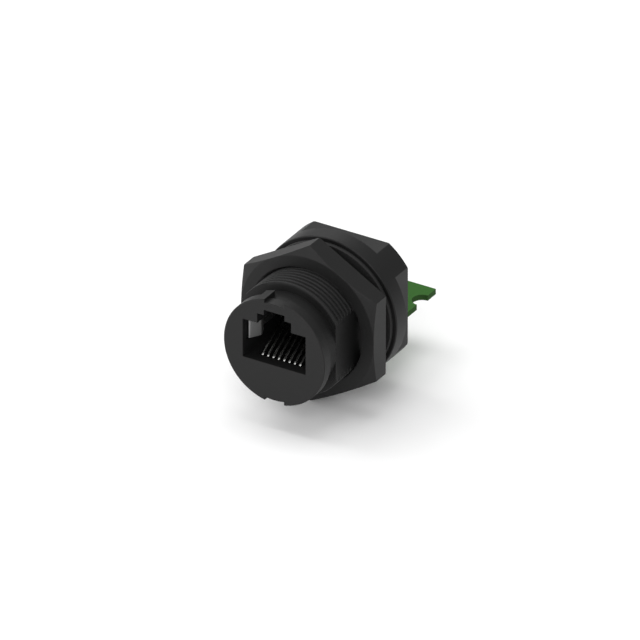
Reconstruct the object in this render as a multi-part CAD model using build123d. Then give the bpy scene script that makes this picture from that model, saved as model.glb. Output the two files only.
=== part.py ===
from build123d import *
import math
import os

# Waterproof panel socket for an eight-way modular plug, in millimetres.
# The axis runs along Y, the mouth looks along -Y and Z is up. The plane Y = 0 is
# the front of the collar, the face that seals against the panel.

# Shell, lengths along the axis from the mouth backwards
rim_length = 1.9
neck_length = 3.3
thread_length = 12.1
collar_length = 3.17
wrench_length = 4.08
web_thickness = 1.8             # wall between the collar's front and the rear bore

# Shell, outside: the radii follow the thread's
thread_radius = 10.32
thread_depth = 0.54
thread_pitch = 0.907            # 28 turns to the inch
thread_turns = 12               # as plain rings, which stand in for the helix
thread_lead = 0.45              # barrel's front edge to the first groove
thread_flat_cut = 1.75          # depth of each flat of the threaded barrel
rim_step = 0.72                 # rim below the thread, so that the nut passes over it
neck_step = 0.95                # neck below the rim
collar_step = 2.54              # collar above the thread
wrench_cut = 2.2                # depth of each of the four wrench flats
wrench_wall = 0.85              # head's wall behind a wrench flat
rim_edge = 0.12                 # chamfer of the nose's front edge
edge_break = 0.15               # chamfer of the collar's and nut's outer edges

# Bayonet keyways and lugs of the nose rim
keyway_width = 3.7
keyway_depth = 0.65
lug_width = 1.65
lug_length = 3.4                # from the nose face backwards

# Plug opening, heights from the axis
mouth_width = 11.9
mouth_floor = -2.42
mouth_height = 7.0
latch_width = 6.4
latch_height = 1.8
latch_slot_width = 3.9
latch_slot_height = 1.0
plug_depth = 11.6               # nose face to the comb that stops the plug
latch_overrun = 0.7             # latch channel past the comb's front

# Contacts
contact_count = 8
contact_pitch = 1.016
contact_width = 0.46
contact_thickness = 0.34
contact_clearance = 0.06
tip_depth = 2.3                 # nose face to the front of the contacts' bend
tip_height = 0.12               # where a contact starts to rise, above the mouth's floor
rise_angle = 31.0
tip_bend_radius = 0.6
free_end_overlap = 0.6          # free end past the comb's front
pin_bend_radius = 0.5
pin_tail = 0.8                  # pin below the board
pin_inset = 1.4                 # comb's front to the first row of pins
pin_row_spacing = 2.5
pin_edge = 1.0                  # first row of pins to the board's front edge

# Contact block and comb
pocket_setback = 2.0            # nose face to the pocket for the block
block_width = 9.1
block_floor = 0.54              # under the contacts' grooves
tray_depth = 0.58
tray_width = 8.2
slot_depth = 1.1
slot_foot = 1.0                 # comb slots' lower end above the mouth's floor
slot_head = 0.6                 # comb slots' upper end below the mouth's top
insert_clearance = 0.05

# Shield springs
spring_thickness = 0.2
spring_setback = 1.8            # nose face to the fold
spring_low = 0.15
spring_height = 3.25
spring_fold_radius = 0.2
spring_leaf_angle = 31.0
spring_reach = 1.33             # how far the crest stands into the opening
spring_crest_radius = 0.5
spring_return_length = 1.8
spring_return = 0.9
spring_leg_length = 1.2
spring_leg_inset = 0.8          # rear bore's floor to the leg
recess_depth = 0.35
recess_lead = 0.5               # recess in front of the fold
recess_clearance = 0.06

# Circuit board
board_thickness = 1.0
tongue_width = 9.0
board_overhang = 13.35          # past the head's rear face
tie_notch_radius = 1.75
tie_notch_inset = 4.33          # notch centre to the board's rear edge
pin_hole_clearance = 0.08
ledge_width = 0.3               # shell ledge under each side of the tongue
tail_pocket_depth = 1.05
board_clearance = 0.3           # board's corners to the rear bore

# Wire eyelets and solder
eyelet_columns = 4
eyelet_rows = 2
eyelet_pitch = 2.0
eyelet_row_spacing = 2.5
eyelet_first_row = 2.6          # from the head's rear face
eyelet_hole = 0.5
eyelet_wall = 0.12
eyelet_stand = 0.06             # plating proud of each face of the board
hole_sides = 12                 # small holes and eyelets are prisms, with few faces
solder_spread = 0.26            # cone past the corners of its pin or leg, at the board
solder_tip_spread = 0.015       # and at its tip
solder_height = 0.5

# Potting resin
potting_recess = 0.6            # resin level inside the head's rear face
potting_clearance = 0.02

# Panel nut and gasket
nut_wall = 2.18                 # bore to each flat
nut_length = 3.93
nut_clearance = 0.1
nut_chamfer_angle = 26.0
panel_gap = 2.22                # between the nut and the gasket, as the photo shows
gasket_thickness = 0.75
gasket_inset = 0.71             # gasket's edge inside the collar's
gasket_clearance = 0.05

# Radii that follow the thread
rim_radius = thread_radius - rim_step
neck_radius = rim_radius - neck_step
thread_root = thread_radius - thread_depth
thread_flat = thread_radius - thread_flat_cut
collar_radius = thread_radius + collar_step
wrench_flat = collar_radius - wrench_cut
bore_radius = wrench_flat - wrench_wall
nut_bore = thread_radius + nut_clearance
nut_across_flats = 2 * (nut_bore + nut_wall)
gasket_radius = collar_radius - gasket_inset

# Places along the axis
nose_y = -(rim_length + neck_length + thread_length)
rim_back_y = nose_y + rim_length
thread_front_y = -thread_length
back_y = collar_length + wrench_length
bore_front_y = web_thickness
comb_front_y = nose_y + plug_depth
latch_back_y = comb_front_y + latch_overrun
block_front_y = nose_y + pocket_setback + insert_clearance
insert_back_y = bore_front_y - insert_clearance
tongue_front_y = comb_front_y + pin_inset - pin_edge
tail_front_y = bore_front_y + insert_clearance
board_back_y = back_y + board_overhang
spring_front_y = nose_y + spring_setback
leg_front_y = bore_front_y + spring_leg_inset
leg_back_y = leg_front_y + spring_leg_length
gasket_front_y = -gasket_thickness
nut_back_y = gasket_front_y - panel_gap
nut_front_y = nut_back_y - nut_length

# Heights of the contacts, the block and the board
mouth_top = mouth_floor + mouth_height
latch_top = mouth_top + latch_height
latch_slot_top = latch_top + latch_slot_height
rise = math.radians(rise_angle)
bend_z = mouth_floor + tip_height - tip_bend_radius * math.cos(rise)
lead_z = bend_z - tip_bend_radius
groove_z = lead_z - contact_thickness / 2 - insert_clearance / 2
board_top = groove_z - block_floor
board_bottom = board_top - board_thickness
pin_end_z = board_bottom - pin_tail

# Widths shared by pieces that fit each other
groove_width = contact_width + 2 * contact_clearance
pin_reach = math.hypot(contact_width, contact_thickness) / 2
leg_reach = math.hypot(spring_thickness, spring_leg_length) / 2
pin_hole_radius = pin_reach + pin_hole_clearance
board_width = 2 * math.sqrt((bore_radius - board_clearance) ** 2 - board_bottom ** 2)
strip_x = mouth_width / 2 + spring_thickness / 2 + recess_clearance
tie_notch_y = board_back_y - tie_notch_inset


def block(x_range, y_range, z_range):
    """Box between a low and a high value on each axis."""
    ranges = (x_range, y_range, z_range)
    centre = [(low + high) / 2 for low, high in ranges]
    return Pos(*centre) * Box(*[high - low for low, high in ranges])


def middle(width):
    """Range of that width, centred on the axis."""
    return (-width / 2, width / 2)


def rod(radius, front_y, rear_y):
    """Round rod on the axis, between two places along it."""
    return Pos(0, (front_y + rear_y) / 2, 0) * Rot(90, 0, 0) * Cylinder(radius, rear_y - front_y)


def turned(outline):
    """Solid turned about the axis from (radius, y) points."""
    return revolve(make_face(Polyline(*outline, close=True)), Axis.Y)


def prism(radius, height):
    """Upright many-sided rod, for the board's small holes and its eyelets."""
    return extrude(RegularPolygon(radius, hole_sides), height / 2, both=True)


def contact_x(index):
    """Place of one contact across the mouth."""
    return (index - (contact_count - 1) / 2) * contact_pitch


def pin_y(index):
    """Place of one contact's pin: two staggered rows."""
    return comb_front_y + pin_inset + pin_row_spacing * (index % 2)


def thread_outline():
    """Points along the barrel: a crest, then a groove and a crest for each turn."""
    start_y = thread_front_y + thread_lead
    points = [(thread_radius, start_y)]
    for turn in range(thread_turns):
        points.append((thread_root, start_y + (turn + 1 / 2) * thread_pitch))
        points.append((thread_radius, start_y + (turn + 1) * thread_pitch))
    return points


def shell_outside():
    """Nose, neck, barrel, collar and head as one turned body with its flats."""
    body = turned([
        (0, nose_y),
        (rim_radius - rim_edge, nose_y),
        (rim_radius, nose_y + rim_edge),
        (rim_radius, rim_back_y),
        (neck_radius, rim_back_y),
        (neck_radius, thread_front_y),
        (thread_radius, thread_front_y),
        *thread_outline(),
        (thread_radius, 0),
        (collar_radius - edge_break, 0),
        (collar_radius, edge_break),
        (collar_radius, back_y - edge_break),
        (collar_radius - edge_break, back_y),
        (0, back_y),
    ])
    flat = block((thread_flat, collar_radius), (thread_front_y, 0), middle(3 * collar_radius))
    body -= flat + mirror(flat, Plane.YZ)
    wrench = block((wrench_flat, 2 * collar_radius), (collar_length, back_y), middle(3 * collar_radius))
    for quarter in range(4):
        body -= Rot(0, 90 * quarter, 0) * wrench
    return body


def keyway():
    """Material cut from the rim at the top keyway."""
    ring = rod(2 * rim_radius, nose_y, rim_back_y) - rod(rim_radius - keyway_depth, nose_y, rim_back_y)
    return ring & block(middle(keyway_width), (nose_y, rim_back_y), (0, 2 * rim_radius))


def lug():
    """Bayonet lug beside the top keyway, behind the rim."""
    ring = rod(rim_radius, rim_back_y, nose_y + lug_length) - rod(neck_radius / 2, rim_back_y, back_y)
    side = (-keyway_width / 2 - lug_width, -keyway_width / 2)
    return ring & block(side, (rim_back_y, nose_y + lug_length), (neck_radius / 2, rim_radius))


def plug_opening():
    """Stepped opening, through to the rear bore below the latch channel."""
    opening = block(middle(mouth_width), (nose_y, bore_front_y), (mouth_floor, mouth_top))
    opening += block(middle(latch_width), (nose_y, latch_back_y), (0, latch_top))
    opening += block(middle(latch_slot_width), (nose_y, latch_back_y), (0, latch_slot_top))
    return opening


def insert_pockets():
    """Room for the springs, the contact block, the board's tongue and the pin tails."""
    recess_width = mouth_width + 2 * recess_depth
    recess_z = (spring_low - recess_clearance, spring_low + spring_height + recess_clearance)
    pockets = block(middle(recess_width), (spring_front_y - recess_lead, bore_front_y), recess_z)
    pocket_width = block_width + 2 * insert_clearance
    pockets += block(middle(pocket_width), (nose_y + pocket_setback, bore_front_y), (board_top, 0))
    tongue_y = (tongue_front_y - insert_clearance, bore_front_y)
    pockets += block(middle(pocket_width), tongue_y, (board_bottom, 0))
    tail_width = tongue_width - 2 * ledge_width
    tail_y = (tongue_front_y + ledge_width, bore_front_y)
    pockets += block(middle(tail_width), tail_y, (board_bottom - tail_pocket_depth, 0))
    return pockets


def shell():
    body = shell_outside()
    half_turn = Rot(0, 180, 0)
    body = body + lug() + half_turn * lug()
    body -= keyway() + half_turn * keyway()
    body -= plug_opening() + insert_pockets()
    return body - rod(bore_radius, bore_front_y, back_y)


def panel_nut():
    """Hexagon nut: front corners turned off, bore run with clearance over the thread."""
    corner_radius = nut_across_flats / math.sqrt(3)
    outline = Plane.XZ * RegularPolygon(corner_radius, 6, rotation=90)
    body = Pos(0, nut_front_y, 0) * extrude(outline, nut_length, dir=(0, 1, 0))
    face_radius = nut_across_flats / 2
    corner_drop = (corner_radius - face_radius) * math.tan(math.radians(nut_chamfer_angle))
    body &= turned([
        (0, nut_front_y),
        (face_radius, nut_front_y),
        (corner_radius, nut_front_y + corner_drop),
        (corner_radius, nut_back_y - edge_break),
        (corner_radius - edge_break, nut_back_y),
        (0, nut_back_y),
    ])
    return body - rod(nut_bore, nut_front_y, nut_back_y)


def panel_gasket():
    """Flat ring cut from rubber sheet, between the collar and the panel."""
    inner = thread_radius + gasket_clearance
    return rod(gasket_radius, gasket_front_y, 0) - rod(inner, gasket_front_y, 0)


def contact(index):
    """Sprung strip: pin, lead along the block, bend at the mouth, rise to the comb."""
    x = contact_x(index)
    bend_y = nose_y + tip_depth + tip_bend_radius
    rise_y = bend_y - tip_bend_radius * math.sin(rise)
    rise_z = bend_z + tip_bend_radius * math.cos(rise)
    corner_y = rise_y - (rise_z - lead_z) / math.tan(rise)
    end_y = comb_front_y + free_end_overlap
    end_z = lead_z + (end_y - corner_y) * math.tan(rise)
    points = [
        (x, pin_y(index), pin_end_z),
        (x, pin_y(index), lead_z),
        (x, corner_y, lead_z),
        (x, end_y, end_z),
    ]
    path = FilletPolyline(*points, radius=[pin_bend_radius, tip_bend_radius])
    start = Plane(origin=path @ 0, x_dir=(1, 0, 0), z_dir=path % 0)
    return sweep(start * Rectangle(contact_width, contact_thickness), path)


def contact_block():
    """Carrier under the contacts: a groove for each, and a slot down to its pin."""
    length = (block_front_y, insert_back_y)
    body = block(middle(block_width), length, (board_top, mouth_floor))
    tray_y = (block_front_y, comb_front_y - insert_clearance)
    body -= block(middle(tray_width), tray_y, (mouth_floor - tray_depth, mouth_floor))
    for index in range(contact_count):
        across = (contact_x(index) - groove_width / 2, contact_x(index) + groove_width / 2)
        groove_end = pin_y(index) + groove_width / 2
        body -= block(across, (block_front_y, groove_end), (groove_z, mouth_floor))
        slot_front = pin_y(index) - pin_bend_radius - contact_clearance
        body -= block(across, (slot_front, groove_end), (board_top, mouth_floor))
    return body


def contact_comb():
    """Rear piece that stops the plug, with a slot for each contact's free end."""
    height = (mouth_floor, mouth_top - insert_clearance)
    width = mouth_width - 2 * insert_clearance
    body = block(middle(width), (comb_front_y, insert_back_y), height)
    slot_z = (mouth_floor + slot_foot, mouth_top - slot_head)
    for index in range(contact_count):
        across = (contact_x(index) - groove_width / 2, contact_x(index) + groove_width / 2)
        body -= block(across, (comb_front_y, comb_front_y + slot_depth), slot_z)
    return body


def shield_spring():
    """Right shield spring: wall strip, front fold, leaf into the mouth, rear leg."""
    half_fold = math.radians(spring_leaf_angle / 2)
    fold_front = spring_front_y + spring_thickness / 2
    corner_y = fold_front + spring_fold_radius - spring_fold_radius / math.tan(half_fold)
    crest_x = mouth_width / 2 - spring_reach
    crest_y = corner_y + (strip_x - crest_x) / math.tan(2 * half_fold)
    points = [
        (strip_x, leg_back_y),
        (strip_x, corner_y),
        (crest_x, crest_y),
        (crest_x + spring_return, crest_y + spring_return_length),
    ]
    path = FilletPolyline(*points, radius=[spring_fold_radius, spring_crest_radius])
    strip = Pos(0, 0, spring_low) * extrude(trace(path, spring_thickness), spring_height, dir=(0, 0, 1))
    strip_sides = (strip_x - spring_thickness / 2, strip_x + spring_thickness / 2)
    leg = block(strip_sides, (leg_front_y, leg_back_y), (pin_end_z, spring_low + spring_height))
    return strip + leg


def circuit_board():
    """T-shaped board: tongue under the block, tail with cable-tie notches behind."""
    height = (board_bottom, board_top)
    board = block(middle(tongue_width), (tongue_front_y, board_back_y), height)
    board += block(middle(board_width), (tail_front_y, board_back_y), height)
    drill_z = (board_bottom + board_top) / 2
    for side in (-1, 1):
        tie = Cylinder(tie_notch_radius, 2 * board_thickness)
        board -= Pos(side * board_width / 2, tie_notch_y, drill_z) * tie
        leg_slot = spring_thickness + 2 * insert_clearance
        across = (side * strip_x - leg_slot / 2, side * strip_x + leg_slot / 2)
        along = (leg_front_y - insert_clearance, leg_back_y + insert_clearance)
        board -= block(across, along, height)
    for index in range(contact_count):
        hole = prism(pin_hole_radius, 2 * board_thickness)
        board -= Pos(contact_x(index), pin_y(index), drill_z) * hole
    for x, y in eyelet_places():
        board -= Pos(x, y, drill_z) * prism(eyelet_hole + eyelet_wall, 2 * board_thickness)
    return board


def eyelet_places():
    """Places of the plated wire holes, in rows across the board."""
    first_x = -(eyelet_columns - 1) / 2 * eyelet_pitch
    first_y = back_y + eyelet_first_row
    return [
        (first_x + column * eyelet_pitch, first_y + row * eyelet_row_spacing)
        for column in range(eyelet_columns)
        for row in range(eyelet_rows)
    ]


def wire_eyelets():
    """Plated holes for the cable's cores, a little proud of both faces of the board."""
    height = board_thickness + 2 * eyelet_stand
    tube = prism(eyelet_hole + eyelet_wall, height) - prism(eyelet_hole, height)
    middle_z = (board_bottom + board_top) / 2
    return Compound([Pos(x, y, middle_z) * tube for x, y in eyelet_places()])


def solder_cone(reach):
    """Eight-sided cone, wide at the board: a four-sided one crossed with its own turned copy."""
    foot = 2 * (reach + solder_spread)
    inset = solder_spread - solder_tip_spread
    tip = foot - inset
    square = Rot(-90, 0, 0) * Wedge(foot, solder_height, foot, inset, inset, tip, tip)
    return square & Rot(0, 0, 45) * square


def solder_joints():
    """Solder cones under the board, round each contact pin and spring leg."""
    pin_joint = solder_cone(pin_reach) - Box(contact_width, contact_thickness, 2 * solder_height)
    leg_joint = solder_cone(leg_reach) - Box(spring_thickness, spring_leg_length, 2 * solder_height)
    joint_z = board_bottom - solder_height / 2
    leg_y = (leg_front_y + leg_back_y) / 2
    joints = [Pos(contact_x(i), pin_y(i), joint_z) * pin_joint for i in range(contact_count)]
    joints += [Pos(side * strip_x, leg_y, joint_z) * leg_joint for side in (-1, 1)]
    return Compound(joints)


def potting(board, springs, joints):
    """Resin that fills the head's rear bore round the board and the springs."""
    front_y = bore_front_y + potting_clearance
    resin = rod(bore_radius - potting_clearance, front_y, back_y - potting_recess)
    resin -= board
    for spring in springs:
        resin -= spring
    return resin - joints


right_spring = shield_spring()
left_spring = mirror(right_spring, Plane.YZ)
board = circuit_board()
solder = solder_joints()

pieces = {
    "shell": shell(),
    "panel_nut": panel_nut(),
    "panel_gasket": panel_gasket(),
    "contact_block": contact_block(),
    "contact_comb": contact_comb(),
    "shield_spring_left": left_spring,
    "shield_spring_right": right_spring,
    "circuit_board": board,
    "solder_joints": solder,
    "wire_eyelets": wire_eyelets(),
    "potting": potting(board, (left_spring, right_spring), solder),
}
for index in range(contact_count):
    pieces[f"contact_{index + 1}"] = contact(index)

os.makedirs("parts", exist_ok=True)
for name, piece in pieces.items():
    export_step(piece, f"parts/{name}.step")
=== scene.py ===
"""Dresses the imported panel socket: thread, edges, finishes, floor, light and camera.

Everything is in metres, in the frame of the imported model: the socket's axis runs
along Y, its mouth looks along -Y, Z is up and Y = 0 is the collar's front face.
"""

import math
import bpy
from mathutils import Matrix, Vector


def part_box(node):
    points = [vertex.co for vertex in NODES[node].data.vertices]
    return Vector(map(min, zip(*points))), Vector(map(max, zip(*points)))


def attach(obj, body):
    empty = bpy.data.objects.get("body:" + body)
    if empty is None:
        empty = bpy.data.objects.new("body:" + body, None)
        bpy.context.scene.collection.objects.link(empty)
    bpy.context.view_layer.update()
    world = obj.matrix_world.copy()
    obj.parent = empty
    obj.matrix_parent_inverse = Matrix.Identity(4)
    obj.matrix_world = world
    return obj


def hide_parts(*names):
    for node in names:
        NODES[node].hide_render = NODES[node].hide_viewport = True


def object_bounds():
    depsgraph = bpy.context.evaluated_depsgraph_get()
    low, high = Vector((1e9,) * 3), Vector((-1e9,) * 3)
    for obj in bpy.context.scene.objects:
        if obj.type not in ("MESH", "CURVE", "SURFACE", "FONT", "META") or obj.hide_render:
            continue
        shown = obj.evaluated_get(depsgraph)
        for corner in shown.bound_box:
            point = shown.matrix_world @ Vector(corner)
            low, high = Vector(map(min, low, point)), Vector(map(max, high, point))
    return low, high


bl_info = {
    "name": "Panel socket dressing",
    "version": (1, 0, 0),
    "blender": (4, 5, 0),
    "location": "View3D > Sidebar > Socket",
    "description": "Threads, finishes, floor, light and camera for a sealed panel socket",
    "category": "Object",
}

import bmesh
import bpy
import numpy as np
from bpy.props import FloatProperty, FloatVectorProperty, IntProperty, PointerProperty
from mathutils import Matrix, Vector

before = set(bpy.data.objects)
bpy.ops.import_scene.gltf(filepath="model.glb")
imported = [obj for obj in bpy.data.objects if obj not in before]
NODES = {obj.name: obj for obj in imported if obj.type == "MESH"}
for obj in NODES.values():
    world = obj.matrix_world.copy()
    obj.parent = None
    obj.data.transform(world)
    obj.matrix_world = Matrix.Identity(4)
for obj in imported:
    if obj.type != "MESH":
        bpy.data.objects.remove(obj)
CAD_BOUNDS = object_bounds()
SHELL_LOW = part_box("shell")[0]
NUT_LOW, NUT_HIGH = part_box("panel_nut")
CONTACT_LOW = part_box("contact_1")[0]
BOARD_LOW, BOARD_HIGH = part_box("circuit_board")
RESIN_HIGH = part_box("potting")[1]
MM = 0.001
CONTACTS = 8

# Play for telling which packed surface a vertex lies on.
GRACE = 0.01 * MM
# Points nearer than this are one point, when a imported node's loose triangles are joined.
WELD = 0.001 * MM
# Packed faces that meet at less than this are one flat face.
FLAT_ANGLE = math.radians(0.4)

# Slope of a thread groove's sides, which stand 30 degrees off the radius.
GROOVE_SLOPE = math.tan(math.radians(30))
# Half the width of a groove's floor, in pitches.
GROOVE_FLOOR = 1 / 16
# Share of the groove's depth by which the crest's corners are broken.
CORNER_SHARE = 0.15
# Reach of the nut's groove cutter into the bore, and past either face of the nut, in pitches.
CUTTER_REACH, CUTTER_OVERRUN = 0.25, 1.75

# Sections of the meniscus round the bore, and points across its curve.
BORE_SECTIONS, CURVE_POINTS = 144, 7
# Share of the meniscus's height by which its foot goes into the resin.
FOOT_SHARE = 0.3

# Change of roughness either way over a moulded surface, and across a rolled strip's streaks.
MOULDED_SPREAD, ROLLED_SPREAD = 0.03, 0.06

# The photo's width in pixels, and its pixels to a millimetre at the nose's face.
PHOTO_WIDTH, PHOTO_SCALE = 640, 6.1615

# Studio lamps: name, degrees clockwise from the board's side as seen from above, degrees
# above the floor, and the lamp's share of the light on the floor. The shares come from
# renders with one lamp at a time, fitted to the photo's shadow and tones.
LAMPS = (
    ("overhead", 0, 85, 0.26),
    ("left", 270, 55, 0.23),
    ("front_right", 150, 30, 0.147),
    ("front", 180, 30, 0.08),
    ("behind_left", 330, 30, 0.055),
    ("low_left", 270, 12, 0.061),
    ("behind_right", 45, 55, 0.052),
    ("low_front_left", 210, 12, 0.04),
)


def linear(hex_colour):
    """Linear RGBA of an sRGB hex colour such as #2B2B2B."""
    value = int(hex_colour.lstrip("#"), 16)
    srgb = np.array([(value >> shift) & 255 for shift in (16, 8, 0)]) / 255
    curve = np.where(srgb <= 0.04045, srgb / 12.92, ((srgb + 0.055) / 1.055) ** 2.4)
    return (*curve.tolist(), 1.0)


def length_property(name, description, default_mm):
    """Length kept in metres, with its default given in millimetres."""
    return FloatProperty(
        name=name, description=description, default=default_mm * MM, unit="LENGTH", precision=5
    )


def colour_property(name, description, default):
    """Colour kept as linear RGBA, with its default given as sRGB hex."""
    return FloatVectorProperty(
        name=name, description=description, default=linear(default), subtype="COLOR", size=4, min=0, max=1
    )


class SocketSizes(bpy.types.PropertyGroup):
    """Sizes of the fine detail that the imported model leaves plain."""

    crest_radius: length_property("Crest radius", "Outside radius of the barrel's thread", 10.32)
    groove_root: length_property("Groove root", "Radius at the bottom of the barrel's thread", 9.87)
    groove_start: length_property("Groove start", "Barrel's front edge to the first groove, at the top", 0.72)
    ring_root: length_property("Ring root", "Radius between the packed barrel's plain rings", 9.78)
    core_radius: length_property("Core radius", "Radius of the core under the threaded sleeve", 9.6)
    barrel_flat: length_property("Barrel flat", "Axis to each flat of the barrel", 8.57)
    pitch: length_property("Pitch", "Travel of the nut for one turn: 28 turns to the inch", 0.907)
    thread_length: length_property("Thread length", "Threaded barrel in front of the collar", 12.1)
    nut_clearance: length_property("Nut clearance", "Nut's bore outside the thread's crests", 0.1)
    nut_thread_depth: length_property("Nut thread depth", "Depth of the grooves in the nut's bore", 0.42)
    thread_edge: length_property("Thread edge", "Chamfer at the front of the thread", 0.02)
    moulded_edge: length_property("Moulded edge", "Rounding of the moulded pieces' edges", 0.07)
    sheared_edge: length_property("Sheared edge", "Rounding of the stamped metal's edges", 0.05)
    strip_edge: length_property("Strip edge", "Rounding of the rolled contacts' edges", 0.15)
    rubber_edge: length_property("Rubber edge", "Rounding of the gasket's edges", 0.1)
    # Between these two depths the contacts fade from their plating colour to a painted shade, for the dark
    # cavity behind the mouth.
    shade_start_depth: length_property("Plated depth", "Contact's tip to where its plating starts to thin", 1.2)
    shade_full_depth: length_property("Bare depth", "Contact's tip to where its plating ends", 5)
    meniscus: length_property("Meniscus", "Height that the resin climbs at the bore and the board", 0.14)
    turn_steps: IntProperty(
        name="Steps a turn", description="Sections in one turn of a thread", default=96, min=24
    )


class SocketColours(bpy.types.PropertyGroup):
    """Colours of the finishes, as seen in plain light, and a painted shade for the back of the contacts."""

    shell: colour_property("Shell", "Black moulded nylon of the shell", "#171717")
    nut: colour_property("Nut", "Black moulded nylon of the nut", "#171717")
    rubber: colour_property("Rubber", "Black rubber of the gasket", "#151515")
    insert: colour_property("Insert", "Black plastic of the block and the comb", "#141414")
    plating: colour_property("Plating", "Bright plating of the contacts' tips", "#979795")
    # Painted shade: a darker colour laid on the contacts towards the back, where the cavity is dark.
    shaded_bronze: colour_property("Bronze", "Dull bronze of the contacts behind their plated tips", "#4A4845")
    tin: colour_property("Tin", "Tinned spring sheet of the shield springs", "#8D8D8D")
    mask: colour_property("Solder mask", "Green lacquer on the board's faces", "#245D0B")
    laminate: colour_property("Laminate", "Bare glass laminate at the board's cut edges", "#2E4D24")
    resin: colour_property("Resin", "Black casting resin in the head", "#101010")


class SocketStage(bpy.types.PropertyGroup):
    """Camera, light and floor, matched to a studio photograph."""

    azimuth: FloatProperty(
        name="Azimuth",
        description="Camera's turn to the right of the mouth",
        default=math.radians(31.07),
        subtype="ANGLE",
    )
    elevation: FloatProperty(
        name="Elevation",
        description="Camera's height above level",
        default=math.radians(29.61),
        subtype="ANGLE",
    )
    distance: length_property("Distance", "Camera to the nose's face", 3520)
    frame_width: length_property(
        "Frame width", "Width of the picture at the nose's face", PHOTO_WIDTH / PHOTO_SCALE
    )
    right_shift: length_property("Right shift", "Picture centre to the right of the nose's centre", 7.458)
    up_shift: length_property("Up shift", "Picture centre above the nose's centre", 5.297)
    ambient: FloatProperty(
        name="Ambient", description="Strength of the even light from all round", default=0.4, min=0
    )
    lamp_level: FloatProperty(
        name="Lamp level", description="Light of all lamps on the floor", default=0.92, min=0
    )
    lamp_distance: length_property("Lamp distance", "Lamps from the socket", 600)
    lamp_width: length_property("Lamp width", "Diameter of each round lamp", 360)
    floor: colour_property("Floor", "Pale studio floor", "#F9F9F9")


def add_node(tree, kind, inputs=None, **settings):
    """Adds a node, sets its attributes, and fills its inputs with values or linked sockets."""
    node = tree.nodes.new(kind)
    for name, value in settings.items():
        setattr(node, name, value)
    for name, value in (inputs or {}).items():
        if isinstance(value, bpy.types.NodeSocket):
            tree.links.new(value, node.inputs[name])
        else:
            node.inputs[name].default_value = value
    return node


def new_material(name):
    """Empty node material with its output, and its Object coordinates."""
    material = bpy.data.materials.new(name)
    material.use_nodes = True
    tree = material.node_tree
    tree.nodes.clear()
    output = add_node(tree, "ShaderNodeOutputMaterial")
    place = add_node(tree, "ShaderNodeTexCoord").outputs["Object"]
    return material, tree, output, place


def shaded(colour, factor):
    """Linear colour made lighter or darker by a factor."""
    return (*(factor * channel for channel in colour[:3]), 1.0)


def finish_material(tree, output, shader):
    """Joins the finished shader to the material's output."""
    tree.links.new(shader.outputs["BSDF"], output.inputs["Surface"])


def moulded_nylon(name, colour, roughness, grain_mm):
    """Glass-filled nylon from a spark-eroded mould: matt black with a very fine grain."""
    material, tree, output, place = new_material(name)
    # Spark-eroded mould walls leave pits about 0.05 mm wide; drawn a little coarser, they
    # break up the reflection without showing as single pits.
    grain = add_node(
        tree, "ShaderNodeTexNoise", {"Vector": place, "Scale": 1 / (grain_mm * MM), "Detail": 3.0}
    )
    bump = add_node(
        tree, "ShaderNodeBump", {"Height": grain.outputs["Fac"], "Strength": 0.12, "Distance": 0.02 * MM}
    )
    # The melt's flow leaves slow changes of gloss, some millimetres long.
    flow = add_node(tree, "ShaderNodeTexNoise", {"Vector": place, "Scale": 1 / (6 * MM), "Detail": 2.0})
    gloss = add_node(
        tree,
        "ShaderNodeMapRange",
        {
            "Value": flow.outputs["Fac"],
            "To Min": roughness - MOULDED_SPREAD,
            "To Max": roughness + MOULDED_SPREAD,
        },
    )
    # The pits also trap about half of the gloss that a smooth moulding of this index has.
    shader = add_node(
        tree,
        "ShaderNodeBsdfPrincipled",
        {
            "Base Color": colour,
            "Roughness": gloss.outputs["Result"],
            "IOR": 1.5,
            "Specular IOR Level": 0.23,
            "Normal": bump.outputs["Normal"],
        },
    )
    finish_material(tree, output, shader)
    return material


def gasket_rubber(colour):
    """Nitrile rubber cut from sheet: black, duller than the nylon, faintly dusty."""
    material, tree, output, place = new_material("nitrile_rubber_sheet")
    # Bloom, the wax that comes out of the rubber, lies on it in cloudy patches.
    bloom = add_node(tree, "ShaderNodeTexNoise", {"Vector": place, "Scale": 1 / (0.6 * MM), "Detail": 4.0})
    tint = add_node(
        tree,
        "ShaderNodeMix",
        {"Factor": bloom.outputs["Fac"], "A": colour, "B": shaded(colour, 1.35)},
        data_type="RGBA",
    )
    bump = add_node(
        tree, "ShaderNodeBump", {"Height": bloom.outputs["Fac"], "Strength": 0.15, "Distance": 0.03 * MM}
    )
    shader = add_node(
        tree,
        "ShaderNodeBsdfPrincipled",
        {
            "Base Color": tint.outputs["Result"],
            "Roughness": 0.75,
            "IOR": 1.5,
            "Normal": bump.outputs["Normal"],
        },
    )
    finish_material(tree, output, shader)
    return material


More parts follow.
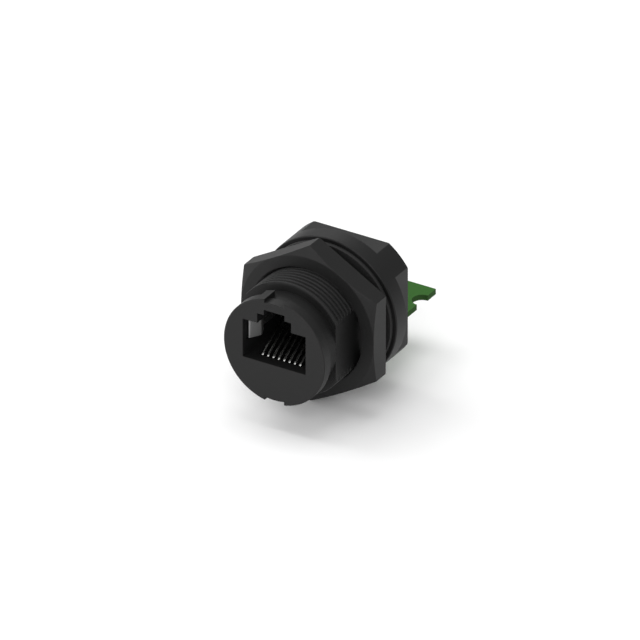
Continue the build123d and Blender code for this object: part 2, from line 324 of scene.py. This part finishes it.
def rolled_metal(name, colour, roughness, grain_mm, stretch, rear=None):
    """Plated strip: rolling leaves fine streaks along the strip, which spread its highlights.

    Where rear is given, it holds a darker colour and the two places along Y between which
    the metal fades to it: a painted shade that darkens the contacts towards the back.
    """
    material, tree, output, place = new_material(name)
    if rear:
        shade_colour, shade_from, shade_to = rear
        # Painted shade: the colour darkens along Y, from the contacts' front to their back.
        depth = add_node(tree, "ShaderNodeSeparateXYZ", {"Vector": place}).outputs["Y"]
        share = add_node(
            tree, "ShaderNodeMapRange", {"Value": depth, "From Min": shade_from, "From Max": shade_to}
        )
        shaded_back = add_node(
            tree,
            "ShaderNodeMix",
            {"Factor": share.outputs["Result"], "A": colour, "B": shade_colour},
            data_type="RGBA",
        )
        colour = shaded_back.outputs["Result"]
    along = add_node(tree, "ShaderNodeMapping", {"Vector": place, "Scale": stretch})
    streaks = add_node(
        tree,
        "ShaderNodeTexNoise",
        {"Vector": along.outputs["Vector"], "Scale": 1 / (grain_mm * MM), "Detail": 3.0},
    )
    gloss = add_node(
        tree,
        "ShaderNodeMapRange",
        {
            "Value": streaks.outputs["Fac"],
            "To Min": roughness - ROLLED_SPREAD,
            "To Max": roughness + ROLLED_SPREAD,
        },
    )
    shader = add_node(
        tree,
        "ShaderNodeBsdfPrincipled",
        {"Base Color": colour, "Metallic": 1.0, "Roughness": gloss.outputs["Result"]},
    )
    finish_material(tree, output, shader)
    return material


def masked_laminate(mask, laminate):
    """Glass laminate under green solder mask: glossy green faces, duller routed edges."""
    material, tree, output, place = new_material("solder_mask_on_glass_laminate")
    normal = add_node(tree, "ShaderNodeNewGeometry").outputs["Normal"]
    across = add_node(tree, "ShaderNodeSeparateXYZ", {"Vector": normal})
    up = add_node(tree, "ShaderNodeMath", {0: across.outputs["Z"]}, operation="ABSOLUTE")
    # The mask covers what faces up or down, and leaves the cut edges uncovered.
    face = add_node(tree, "ShaderNodeMath", {0: up.outputs[0], 1: 0.7}, operation="GREATER_THAN")
    # The glass weave shows through the mask as a faint grid. One unit of the texture holds
    # 3.2 waves, so they are 1 mm long, each a pair of glass bundles.
    cloth = {"Vector": place, "Scale": 1 / (3.2 * MM), "Distortion": 0.6}
    warp = add_node(tree, "ShaderNodeTexWave", cloth)
    weft = add_node(tree, "ShaderNodeTexWave", cloth, bands_direction="Y")
    weave = add_node(
        tree, "ShaderNodeMath", {0: warp.outputs["Fac"], 1: weft.outputs["Fac"]}, operation="MULTIPLY"
    )
    shade = add_node(tree, "ShaderNodeMapRange", {"Value": weave.outputs[0], "To Min": 0.0, "To Max": 0.12})
    lacquer = add_node(
        tree,
        "ShaderNodeMix",
        {"Factor": shade.outputs["Result"], "A": mask, "B": shaded(mask, 0.6)},
        data_type="RGBA",
    )
    colour = add_node(
        tree,
        "ShaderNodeMix",
        {"Factor": face.outputs[0], "A": laminate, "B": lacquer.outputs["Result"]},
        data_type="RGBA",
    )
    gloss = add_node(tree, "ShaderNodeMapRange", {"Value": face.outputs[0], "To Min": 0.8, "To Max": 0.45})
    # The mask is a matt one, which leaves a fifth of the gloss of a smooth coat.
    shader = add_node(
        tree,
        "ShaderNodeBsdfPrincipled",
        {
            "Base Color": colour.outputs["Result"],
            "Roughness": gloss.outputs["Result"],
            "IOR": 1.52,
            "Specular IOR Level": 0.1,
        },
    )
    finish_material(tree, output, shader)
    return material


def casting_resin(colour):
    """Black epoxy poured and cured: wet-looking gloss with slow ripples."""
    material, tree, output, place = new_material("black_casting_epoxy")
    ripple = add_node(tree, "ShaderNodeTexNoise", {"Vector": place, "Scale": 1 / (4 * MM), "Detail": 1.0})
    bump = add_node(
        tree, "ShaderNodeBump", {"Height": ripple.outputs["Fac"], "Strength": 0.3, "Distance": 0.1 * MM}
    )
    shader = add_node(
        tree,
        "ShaderNodeBsdfPrincipled",
        {"Base Color": colour, "Roughness": 0.18, "IOR": 1.55, "Normal": bump.outputs["Normal"]},
    )
    finish_material(tree, output, shader)
    return material


def give(piece, material):
    """Puts one material on a piece."""
    piece.data.materials.clear()
    piece.data.materials.append(material)


def new_piece(name, mesh):
    """Object for a mesh, linked to the scene at the origin."""
    piece = bpy.data.objects.new(name, mesh)
    bpy.context.scene.collection.objects.link(piece)
    return piece


def on_barrel(vertex, sizes):
    """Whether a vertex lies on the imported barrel's round surface, with its plain rings."""
    radius = math.hypot(vertex.co.x, vertex.co.z)
    along = -sizes.thread_length - GRACE < vertex.co.y < GRACE
    return along and sizes.ring_root - GRACE < radius < sizes.crest_radius + GRACE


def sink_barrel(work, sizes):
    """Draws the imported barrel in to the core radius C, under the threaded sleeve.

    A point moves inwards to C, but one on a flat keeps its x and slides along the flat to
    z = sqrt(C^2 - x^2).
    """
    core = sizes.core_radius
    for vertex in [v for v in work.verts if on_barrel(v, sizes)]:
        x, _, z = vertex.co
        if abs(x) > sizes.barrel_flat - GRACE:
            vertex.co.z = math.copysign(math.sqrt(core**2 - x**2), z)
        else:
            shrink = core / math.hypot(x, z)
            vertex.co.x *= shrink
            vertex.co.z *= shrink


def threaded_sleeve(sizes):
    """Surface of the barrel's thread: two arcs above and below, parted by the flats.

    Across one pitch the profile has a flat crest with broken corners and a 60 degree groove
    with a narrow floor. At angle a from the top it lies pitch a / 2 pi further back, which
    makes a right-handed helix. It stops at the sleeve's ends, the front one chamfered by
    thread_edge and the rear one inside the collar, deeper by the moulded edge. At the
    radius r the angle runs to asin(flat / r), so that both sides end on the flats. Below,
    each arc is closed at the core radius.
    """
    crest, root, flat = sizes.crest_radius, sizes.groove_root, sizes.barrel_flat
    floor_half = GROOVE_FLOOR * sizes.pitch
    mouth_half = floor_half + (crest - root) * GROOVE_SLOPE
    corner = CORNER_SHARE * (crest - root)
    half = np.array([floor_half, mouth_half - corner, mouth_half + corner])
    half_radius = np.array([root, crest - corner, crest])
    turns = np.arange(-2, math.ceil(sizes.thread_length / sizes.pitch) + 2)
    across = (turns[:, None] * sizes.pitch + np.concatenate([-half[::-1], half])).ravel()
    profile = np.tile(np.concatenate([half_radius[::-1], half_radius]), len(turns))
    front, back = -sizes.thread_length, sizes.moulded_edge
    edge = np.array([front, front + sizes.thread_edge])
    side = np.linspace(-1, 1, sizes.turn_steps // 2 + 1)[:, None]
    points, faces = [], []
    for half_turn in (0, math.pi):
        angle = side * math.asin(flat / crest) + half_turn
        base = front + sizes.groove_start + sizes.pitch * angle / (2 * math.pi)
        along = np.clip(base + across, front, back)
        along = np.sort(np.concatenate([along, np.tile(edge, (len(side), 1))], axis=1), axis=1)
        radius = np.interp(along - base, across, profile)
        radius = np.minimum(radius, crest - sizes.thread_edge + along - front)
        core = np.full((len(side), 1), sizes.core_radius)
        radius = np.concatenate([core, radius, core], axis=1)
        along = np.concatenate([along[:, :1], along, along[:, -1:]], axis=1)
        turned = side * np.arcsin(flat / radius) + half_turn
        skin = np.stack([radius * np.sin(turned), along, radius * np.cos(turned)], axis=2)
        # Down each flat the sheet goes on to a foot line, where the flat meets the core.
        foot = skin[[0, -1]].copy()
        foot[:, :, 2] = math.copysign(math.sqrt(sizes.core_radius**2 - flat**2), math.cos(half_turn))
        sheet = np.concatenate([foot[:1], skin, foot[1:]])
        place = len(points) + np.arange(sheet.shape[0] * sheet.shape[1]).reshape(sheet.shape[:2])
        quads = np.stack([place[:-1, :-1], place[1:, :-1], place[1:, 1:], place[:-1, 1:]], axis=-1)
        # Faces from end to end close the sheet below, the outer two along the foot lines.
        below = np.stack([place[2:-3, -1], place[3:-2, -1], place[3:-2, 0], place[2:-3, 0]], axis=-1)
        points.extend(sheet.reshape(-1, 3).tolist())
        faces.extend(quads.reshape(-1, 4).tolist() + below.tolist())
        faces.append([place[2, -1], place[2, 0], *place[0]])
        faces.append([place[-3, 0], place[-3, -1], *place[-1][::-1]])
    mesh = bpy.data.meshes.new("threaded_sleeve")
    mesh.from_pydata(points, [], faces)
    return mesh


def merged_copy(node, name, reshape=None):
    """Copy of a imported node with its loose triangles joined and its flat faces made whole."""
    work = bmesh.new()
    work.from_mesh(NODES[node].data)
    bmesh.ops.remove_doubles(work, verts=work.verts, dist=WELD)
    if reshape:
        reshape(work)
    bmesh.ops.dissolve_limit(work, angle_limit=FLAT_ANGLE, verts=work.verts, edges=work.edges)
    mesh = bpy.data.meshes.new(name)
    work.to_mesh(mesh)
    work.free()
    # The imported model's stored normals no longer fit its joined faces.
    stored = mesh.attributes.get("custom_normal")
    if stored:
        mesh.attributes.remove(stored)
    return new_piece(name, mesh)


def soften_edges(piece, radius, segments=2, sharp=25.0, chosen=None, added=None):
    """Rounds the chosen edges where two faces meet at more than the sharp angle, in degrees.

    A second mesh, if one is given, is then added, with its doubled points joined.
    """
    work = bmesh.new()
    work.from_mesh(piece.data)
    hard = [e for e in work.edges if len(e.link_faces) == 2 and e.calc_face_angle() > math.radians(sharp)]
    if chosen:
        hard = [e for e in hard if chosen(e)]
    bmesh.ops.bevel(
        work, geom=hard, offset=radius, segments=segments, profile=0.5, affect="EDGES", clamp_overlap=False
    )
    if added:
        own = len(work.verts)
        work.from_mesh(added)
        work.verts.ensure_lookup_table()
        bmesh.ops.remove_doubles(work, verts=work.verts[own:], dist=WELD / 2)
    work.to_mesh(piece.data)
    work.free()


def smooth_faces(piece, sharp=30.0):
    """Smooth shading, broken where faces meet at more than the sharp angle, in degrees."""
    piece.data.shade_smooth()
    piece.data.set_sharp_from_angle(angle=math.radians(sharp))
    weights = piece.modifiers.new("face_weights", "WEIGHTED_NORMAL")
    weights.keep_sharp = True


def carried_profile(name, rings, loop=False):
    """Closed tube of rings, each with the same points: its ends are capped, or joined to a loop.

    The array of rings has the shape (sections, points, 3).
    """
    sections, points, _ = rings.shape
    first = np.arange(sections if loop else sections - 1)[:, None] * points
    second = (first + points) % (sections * points)
    here = np.arange(points)[None, :]
    after = (here + 1) % points
    quads = np.stack([first + here, first + after, second + after, second + here], axis=-1)
    faces = quads.reshape(-1, 4).tolist()
    if not loop:
        faces.append(list(range(points))[::-1])
        faces.append(list(range((sections - 1) * points, sections * points)))
    mesh = bpy.data.meshes.new(name)
    mesh.from_pydata(rings.reshape(-1, 3).tolist(), [], faces)
    mesh.validate()
    return new_piece(name, mesh)


def groove_in_bore(name, bore, depth, pitch, start, end, steps, fade_turns=0.5, shallowest=0.02):
    """Closed cutter for a 60 degree thread groove in a bore.

    One section is a trapezium with its wide side inside the bore and its narrow side at the
    groove's root. It is carried along a right-handed helix: at angle a the point (r, w) of
    the section lies at (r sin a, start + pitch a / 2 pi + w, r cos a). Over the last turns
    the root comes in to the bore, down to the shallowest share of the depth, which gives the
    thread its run-out.
    """
    turns = (end - start) / pitch
    angle = np.linspace(0, 2 * math.pi * turns, int(turns * steps) + 1)
    left = (2 * math.pi * turns - angle) / (2 * math.pi)
    root = bore + depth * np.clip(left / fade_turns, shallowest, 1.0)
    lip = np.full_like(root, bore - CUTTER_REACH * pitch)
    root_half = np.full_like(root, GROOVE_FLOOR * pitch)
    lip_half = root_half + (root - lip) * GROOVE_SLOPE
    radius = np.stack([root, root, lip, lip], axis=1)
    across = np.stack([-root_half, root_half, lip_half, -lip_half], axis=1)
    along = start + pitch * angle[:, None] / (2 * math.pi) + across
    rings = np.stack([radius * np.sin(angle)[:, None], along, radius * np.cos(angle)[:, None]], axis=2)
    return carried_profile(name, rings)


def cut_away(piece, cutter):
    """Takes the cutter out of the piece with an exact boolean, and deletes the cutter."""
    fix_normals(cutter)
    cut = piece.modifiers.new("cut", "BOOLEAN")
    cut.operation = "DIFFERENCE"
    cut.solver = "EXACT"
    cut.object = cutter
    graph = bpy.context.evaluated_depsgraph_get()
    result = bpy.data.meshes.new_from_object(piece.evaluated_get(graph))
    piece.modifiers.remove(cut)
    piece.data = result
    bpy.data.objects.remove(cutter)


def fix_normals(piece):
    """Turns every face of a closed mesh outwards."""
    work = bmesh.new()
    work.from_mesh(piece.data)
    bmesh.ops.recalc_face_normals(work, faces=work.faces)
    work.to_mesh(piece.data)
    work.free()


def directions(angle):
    """Unit vectors, as (x, z), at angles from the top."""
    return np.stack([np.sin(angle), np.cos(angle)], axis=1)


def board_corners():
    """Points of the board's section, as (x, z), each with the way out from the board there.

    Each corner comes three times: with the way out of the side before it, with the
    diagonal, and with the way out of the side after it, which turns the section round it.
    """
    low, high = BOARD_LOW, BOARD_HIGH
    corners = [(high.x, high.z), (high.x, low.z), (low.x, low.z), (low.x, high.z)]
    turn = np.radians([0, 45, 90]) + math.pi / 2 * np.arange(len(corners))[:, None]
    return np.repeat(corners, turn.shape[1], axis=0), directions(turn.ravel())


def resin_meniscus(name, wall, away, size):
    """Resin drawn up a wall that stands in it: a hollow quarter round of radius m.

    From the resin's level it rises to m at the wall: at angle t the section lies
    m (1 - sin t) from the wall and m (1 - cos t) high. Each wall point, as (x, z), has the
    unit vector that leads away from the wall there.
    """
    turn = np.linspace(0, math.pi / 2, CURVE_POINTS)
    foot = -FOOT_SHARE * size
    distance = np.concatenate([size * (1 - np.sin(turn)), [0, size]])
    height = np.concatenate([size * (1 - np.cos(turn)), [foot, foot]])
    flat = wall[:, None, :] + away[:, None, :] * distance[None, :, None]
    along = np.broadcast_to(RESIN_HIGH.y + height, flat.shape[:2])
    rings = np.stack([flat[:, :, 0], along, flat[:, :, 1]], axis=2)
    piece = carried_profile(name, rings, loop=True)
    fix_normals(piece)
    return piece


class SOCKET_OT_shell(bpy.types.Operator):
    """Threads the shell's barrel and rounds its moulded edges."""

    bl_idname = "socket.shell"
    bl_label = "Shell"

    def execute(self, context):
        sizes = context.scene.socket_sizes
        shell = merged_copy("shell", "shell_threaded", lambda work: sink_barrel(work, sizes))

        def outside_core(edge):
            return not all(
                abs(math.hypot(v.co.x, v.co.z) - sizes.core_radius) < 2 * GRACE and v.co.y < GRACE
                for v in edge.verts
            )

        soften_edges(shell, sizes.moulded_edge, chosen=outside_core, added=threaded_sleeve(sizes))
        smooth_faces(shell)
        colour = context.scene.socket_colours.shell
        nylon = moulded_nylon("glass_filled_nylon_shell", colour, roughness=0.5, grain_mm=0.09)
        give(shell, nylon)
        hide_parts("shell")
        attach(shell, "housing")
        return {"FINISHED"}


class SOCKET_OT_nut(bpy.types.Operator):
    """Threads the nut's bore and rounds its moulded edges."""

    bl_idname = "socket.nut"
    bl_label = "Panel nut"

    def execute(self, context):
        sizes = context.scene.socket_sizes
        nut = merged_copy("panel_nut", "nut_threaded")
        soften_edges(nut, sizes.moulded_edge)
        overrun = CUTTER_OVERRUN * sizes.pitch
        groove = groove_in_bore(
            "nut_groove",
            sizes.crest_radius + sizes.nut_clearance,
            sizes.nut_thread_depth,
            sizes.pitch,
            NUT_LOW.y - overrun,
            NUT_HIGH.y + overrun,
            sizes.turn_steps,
        )
        cut_away(nut, groove)
        smooth_faces(nut)
        colour = context.scene.socket_colours.nut
        give(nut, moulded_nylon("nylon_nut", colour, roughness=0.5, grain_mm=0.09))
        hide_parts("panel_nut")
        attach(nut, "nut")
        return {"FINISHED"}


class SOCKET_OT_gasket(bpy.types.Operator):
    """Rounds the gasket's edges and gives it its rubber."""

    bl_idname = "socket.gasket"
    bl_label = "Gasket"

    def execute(self, context):
        gasket = merged_copy("panel_gasket", "gasket_ring")
        soften_edges(gasket, context.scene.socket_sizes.rubber_edge, segments=3)
        smooth_faces(gasket)
        give(gasket, gasket_rubber(context.scene.socket_colours.rubber))
        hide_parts("panel_gasket")
        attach(gasket, "housing")
        return {"FINISHED"}


class SOCKET_OT_contacts(bpy.types.Operator):
    """Rounds the contacts to wires and paints shade on them towards the back."""

    bl_idname = "socket.contacts"
    bl_label = "Contacts"

    def execute(self, context):
        sizes = context.scene.socket_sizes
        colours = context.scene.socket_colours
        plating = rolled_metal(
            "plated_phosphor_bronze",
            colours.plating,
            roughness=0.26,
            grain_mm=0.1,
            stretch=(1.0, 0.2, 0.2),
            # The contacts darken towards the back: painted shade for the dark cavity behind the mouth.
            rear=(colours.shaded_bronze, CONTACT_LOW.y + sizes.shade_start_depth, CONTACT_LOW.y + sizes.shade_full_depth),
        )
        for index in range(1, CONTACTS + 1):
            contact = merged_copy(f"contact_{index}", f"contact_strip_{index}")
            soften_edges(contact, sizes.strip_edge, segments=4)
            smooth_faces(contact)
            give(contact, plating)
            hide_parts(f"contact_{index}")
            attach(contact, "housing")
        return {"FINISHED"}


class SOCKET_OT_springs(bpy.types.Operator):
    """Rounds the shield springs' edges and tins them."""

    bl_idname = "socket.springs"
    bl_label = "Shield springs"

    def execute(self, context):
        sizes = context.scene.socket_sizes
        tin = rolled_metal(
            "tinned_spring_sheet",
            context.scene.socket_colours.tin,
            roughness=0.5,
            grain_mm=0.15,
            stretch=(0.2, 0.2, 1.0),
        )
        for side in ("left", "right"):
            spring = merged_copy(f"shield_spring_{side}", f"shield_leaf_{side}")
            soften_edges(spring, sizes.sheared_edge)
            smooth_faces(spring)
            give(spring, tin)
            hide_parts(f"shield_spring_{side}")
            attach(spring, "housing")
        return {"FINISHED"}


class SOCKET_OT_inserts(bpy.types.Operator):
    """Gives the contact block and the comb their black plastic."""

    bl_idname = "socket.inserts"
    bl_label = "Block and comb"

    def execute(self, context):
        colour = context.scene.socket_colours.insert
        plastic = moulded_nylon("moulded_polyester_insert", colour, roughness=0.55, grain_mm=0.12)
        for node in ("contact_block", "contact_comb"):
            give(NODES[node], plastic)
        return {"FINISHED"}


class SOCKET_OT_board(bpy.types.Operator):
    """Finishes the circuit board, its solder and its plated holes."""

    bl_idname = "socket.board"
    bl_label = "Circuit board"

    def execute(self, context):
        colours = context.scene.socket_colours
        give(NODES["circuit_board"], masked_laminate(colours.mask, colours.laminate))
        tin = rolled_metal(
            "tinned_copper", colours.tin, roughness=0.35, grain_mm=0.2, stretch=(1.0, 1.0, 1.0)
        )
        give(NODES["solder_joints"], tin)
        give(NODES["wire_eyelets"], tin)
        return {"FINISHED"}


class SOCKET_OT_potting(bpy.types.Operator):
    """Gives the potting its resin, drawn up at the bore's wall and round the board."""

    bl_idname = "socket.potting"
    bl_label = "Potting"

    def execute(self, context):
        resin = casting_resin(context.scene.socket_colours.resin)
        give(NODES["potting"], resin)
        size = context.scene.socket_sizes.meniscus
        outward = directions(np.linspace(0, 2 * math.pi, BORE_SECTIONS, endpoint=False))
        for piece in (
            resin_meniscus("resin_at_bore", RESIN_HIGH.x * outward, -outward, size),
            resin_meniscus("resin_at_board", *board_corners(), size),
        ):
            smooth_faces(piece, sharp=50)
            give(piece, resin)
            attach(piece, "housing")
        return {"FINISHED"}


def round_lamp(name, azimuth, elevation, share, stage):
    """Round lamp aimed at the socket from a direction, with its share of the floor's light.

    A disc of radius R at distance L lights a floor that it stands e above with the radiance
    l sin e R^2 / (R^2 + L^2), and its power is l pi A for the area A.
    """
    turn, rise = math.radians(azimuth), math.radians(elevation)
    way = Vector((math.cos(rise) * math.sin(turn), math.cos(rise) * math.cos(turn), math.sin(rise)))
    radius = stage.lamp_width / 2
    seen = radius**2 / (radius**2 + stage.lamp_distance**2)
    lamp = bpy.data.lights.new(name, "AREA")
    lamp.shape = "DISK"
    lamp.size = stage.lamp_width
    lamp.energy = stage.lamp_level * share / (seen * math.sin(rise)) * math.pi * math.pi * radius**2
    light = bpy.data.objects.new(name, lamp)
    bpy.context.scene.collection.objects.link(light)
    light.location = way * stage.lamp_distance
    light.rotation_euler = way.to_track_quat("Z", "Y").to_euler()
    return light


def studio_world(scene, ambient):
    """Even light from all round the object."""
    world = bpy.data.worlds.new("studio_world")
    world.use_nodes = True
    tree = world.node_tree
    tree.nodes.clear()
    light = add_node(tree, "ShaderNodeBackground", {"Color": (1, 1, 1, 1), "Strength": ambient})
    output = add_node(tree, "ShaderNodeOutputWorld")
    tree.links.new(light.outputs[0], output.inputs["Surface"])
    scene.world = world


def floor_material(colour):
    """Matt white studio floor, clear from below so that it doesn't hide the socket there."""
    material, tree, output, _ = new_material("matt_white_floor")
    above = add_node(tree, "ShaderNodeBsdfDiffuse", {"Color": colour})
    below = add_node(tree, "ShaderNodeBsdfTransparent")
    side = add_node(tree, "ShaderNodeNewGeometry").outputs["Backfacing"]
    floor = add_node(tree, "ShaderNodeMixShader", {0: side, 1: above.outputs[0], 2: below.outputs[0]})
    tree.links.new(floor.outputs[0], output.inputs["Surface"])
    return material


class SOCKET_OT_stage(bpy.types.Operator):
    """Makes the floor, the lights, the world and the camera."""

    bl_idname = "socket.stage"
    bl_label = "Stage"

    def execute(self, context):
        scene = context.scene
        stage = scene.socket_stage
        scene.view_settings.view_transform = "Standard"
        studio_world(scene, stage.ambient)

        level = CAD_BOUNDS[0].z
        half = 1.0
        corners = ((-half, -half), (half, -half), (half, half), (-half, half))
        mesh = bpy.data.meshes.new("floor")
        mesh.from_pydata([(x, y, level) for x, y in corners], [], [(0, 1, 2, 3)])
        floor = new_piece("floor", mesh)
        floor.data.materials.append(floor_material(stage.floor))

        for name, azimuth, elevation, share in LAMPS:
            round_lamp(name, azimuth, elevation, share, stage)

        turn, rise = stage.azimuth, stage.elevation
        back = Vector((math.sin(turn) * math.cos(rise), -math.cos(turn) * math.cos(rise), math.sin(rise)))
        right = Vector((math.cos(turn), math.sin(turn), 0))
        up = back.cross(right)
        nose = Vector((0, SHELL_LOW.y, 0))
        camera = bpy.data.cameras.new("camera")
        camera.sensor_width = 36
        camera.lens = camera.sensor_width * stage.distance / stage.frame_width
        camera.clip_start, camera.clip_end = 0.1, 20
        view = bpy.data.objects.new("camera", camera)
        scene.collection.objects.link(view)
        view.location = nose + right * stage.right_shift + up * stage.up_shift + back * stage.distance
        view.rotation_euler = Matrix((right, up, back)).transposed().to_euler()
        scene.camera = view
        return {"FINISHED"}


class SOCKET_PT_dressing(bpy.types.Panel):
    """Lists the steps and the sizes they use."""

    bl_label = "Socket dressing"
    bl_space_type = "VIEW_3D"
    bl_region_type = "UI"
    bl_category = "Socket"

    def draw(self, context):
        layout = self.layout
        for group in (context.scene.socket_sizes, context.scene.socket_colours, context.scene.socket_stage):
            box = layout.box()
            for name in group.bl_rna.properties.keys():
                if name not in {"rna_type", "name"}:
                    box.prop(group, name)
        for step in STEPS:
            layout.operator(step.bl_idname)


GROUPS = (SocketSizes, SocketColours, SocketStage)
STEPS = (
    SOCKET_OT_stage,
    SOCKET_OT_shell,
    SOCKET_OT_nut,
    SOCKET_OT_gasket,
    SOCKET_OT_contacts,
    SOCKET_OT_springs,
    SOCKET_OT_inserts,
    SOCKET_OT_board,
    SOCKET_OT_potting,
)
CLASSES = (*GROUPS, *STEPS, SOCKET_PT_dressing)


def register():
    for cls in CLASSES:
        bpy.utils.register_class(cls)
    bpy.types.Scene.socket_sizes = PointerProperty(type=SocketSizes)
    bpy.types.Scene.socket_colours = PointerProperty(type=SocketColours)
    bpy.types.Scene.socket_stage = PointerProperty(type=SocketStage)


def unregister():
    del bpy.types.Scene.socket_stage
    del bpy.types.Scene.socket_colours
    del bpy.types.Scene.socket_sizes
    for cls in reversed(CLASSES):
        bpy.utils.unregister_class(cls)


def main():
    """Runs every step."""
    register()
    bpy.ops.socket.stage()
    bpy.ops.socket.shell()
    bpy.ops.socket.nut()
    bpy.ops.socket.gasket()
    bpy.ops.socket.contacts()
    bpy.ops.socket.springs()
    bpy.ops.socket.inserts()
    bpy.ops.socket.board()
    bpy.ops.socket.potting()


if __name__ == "__main__":
    main()
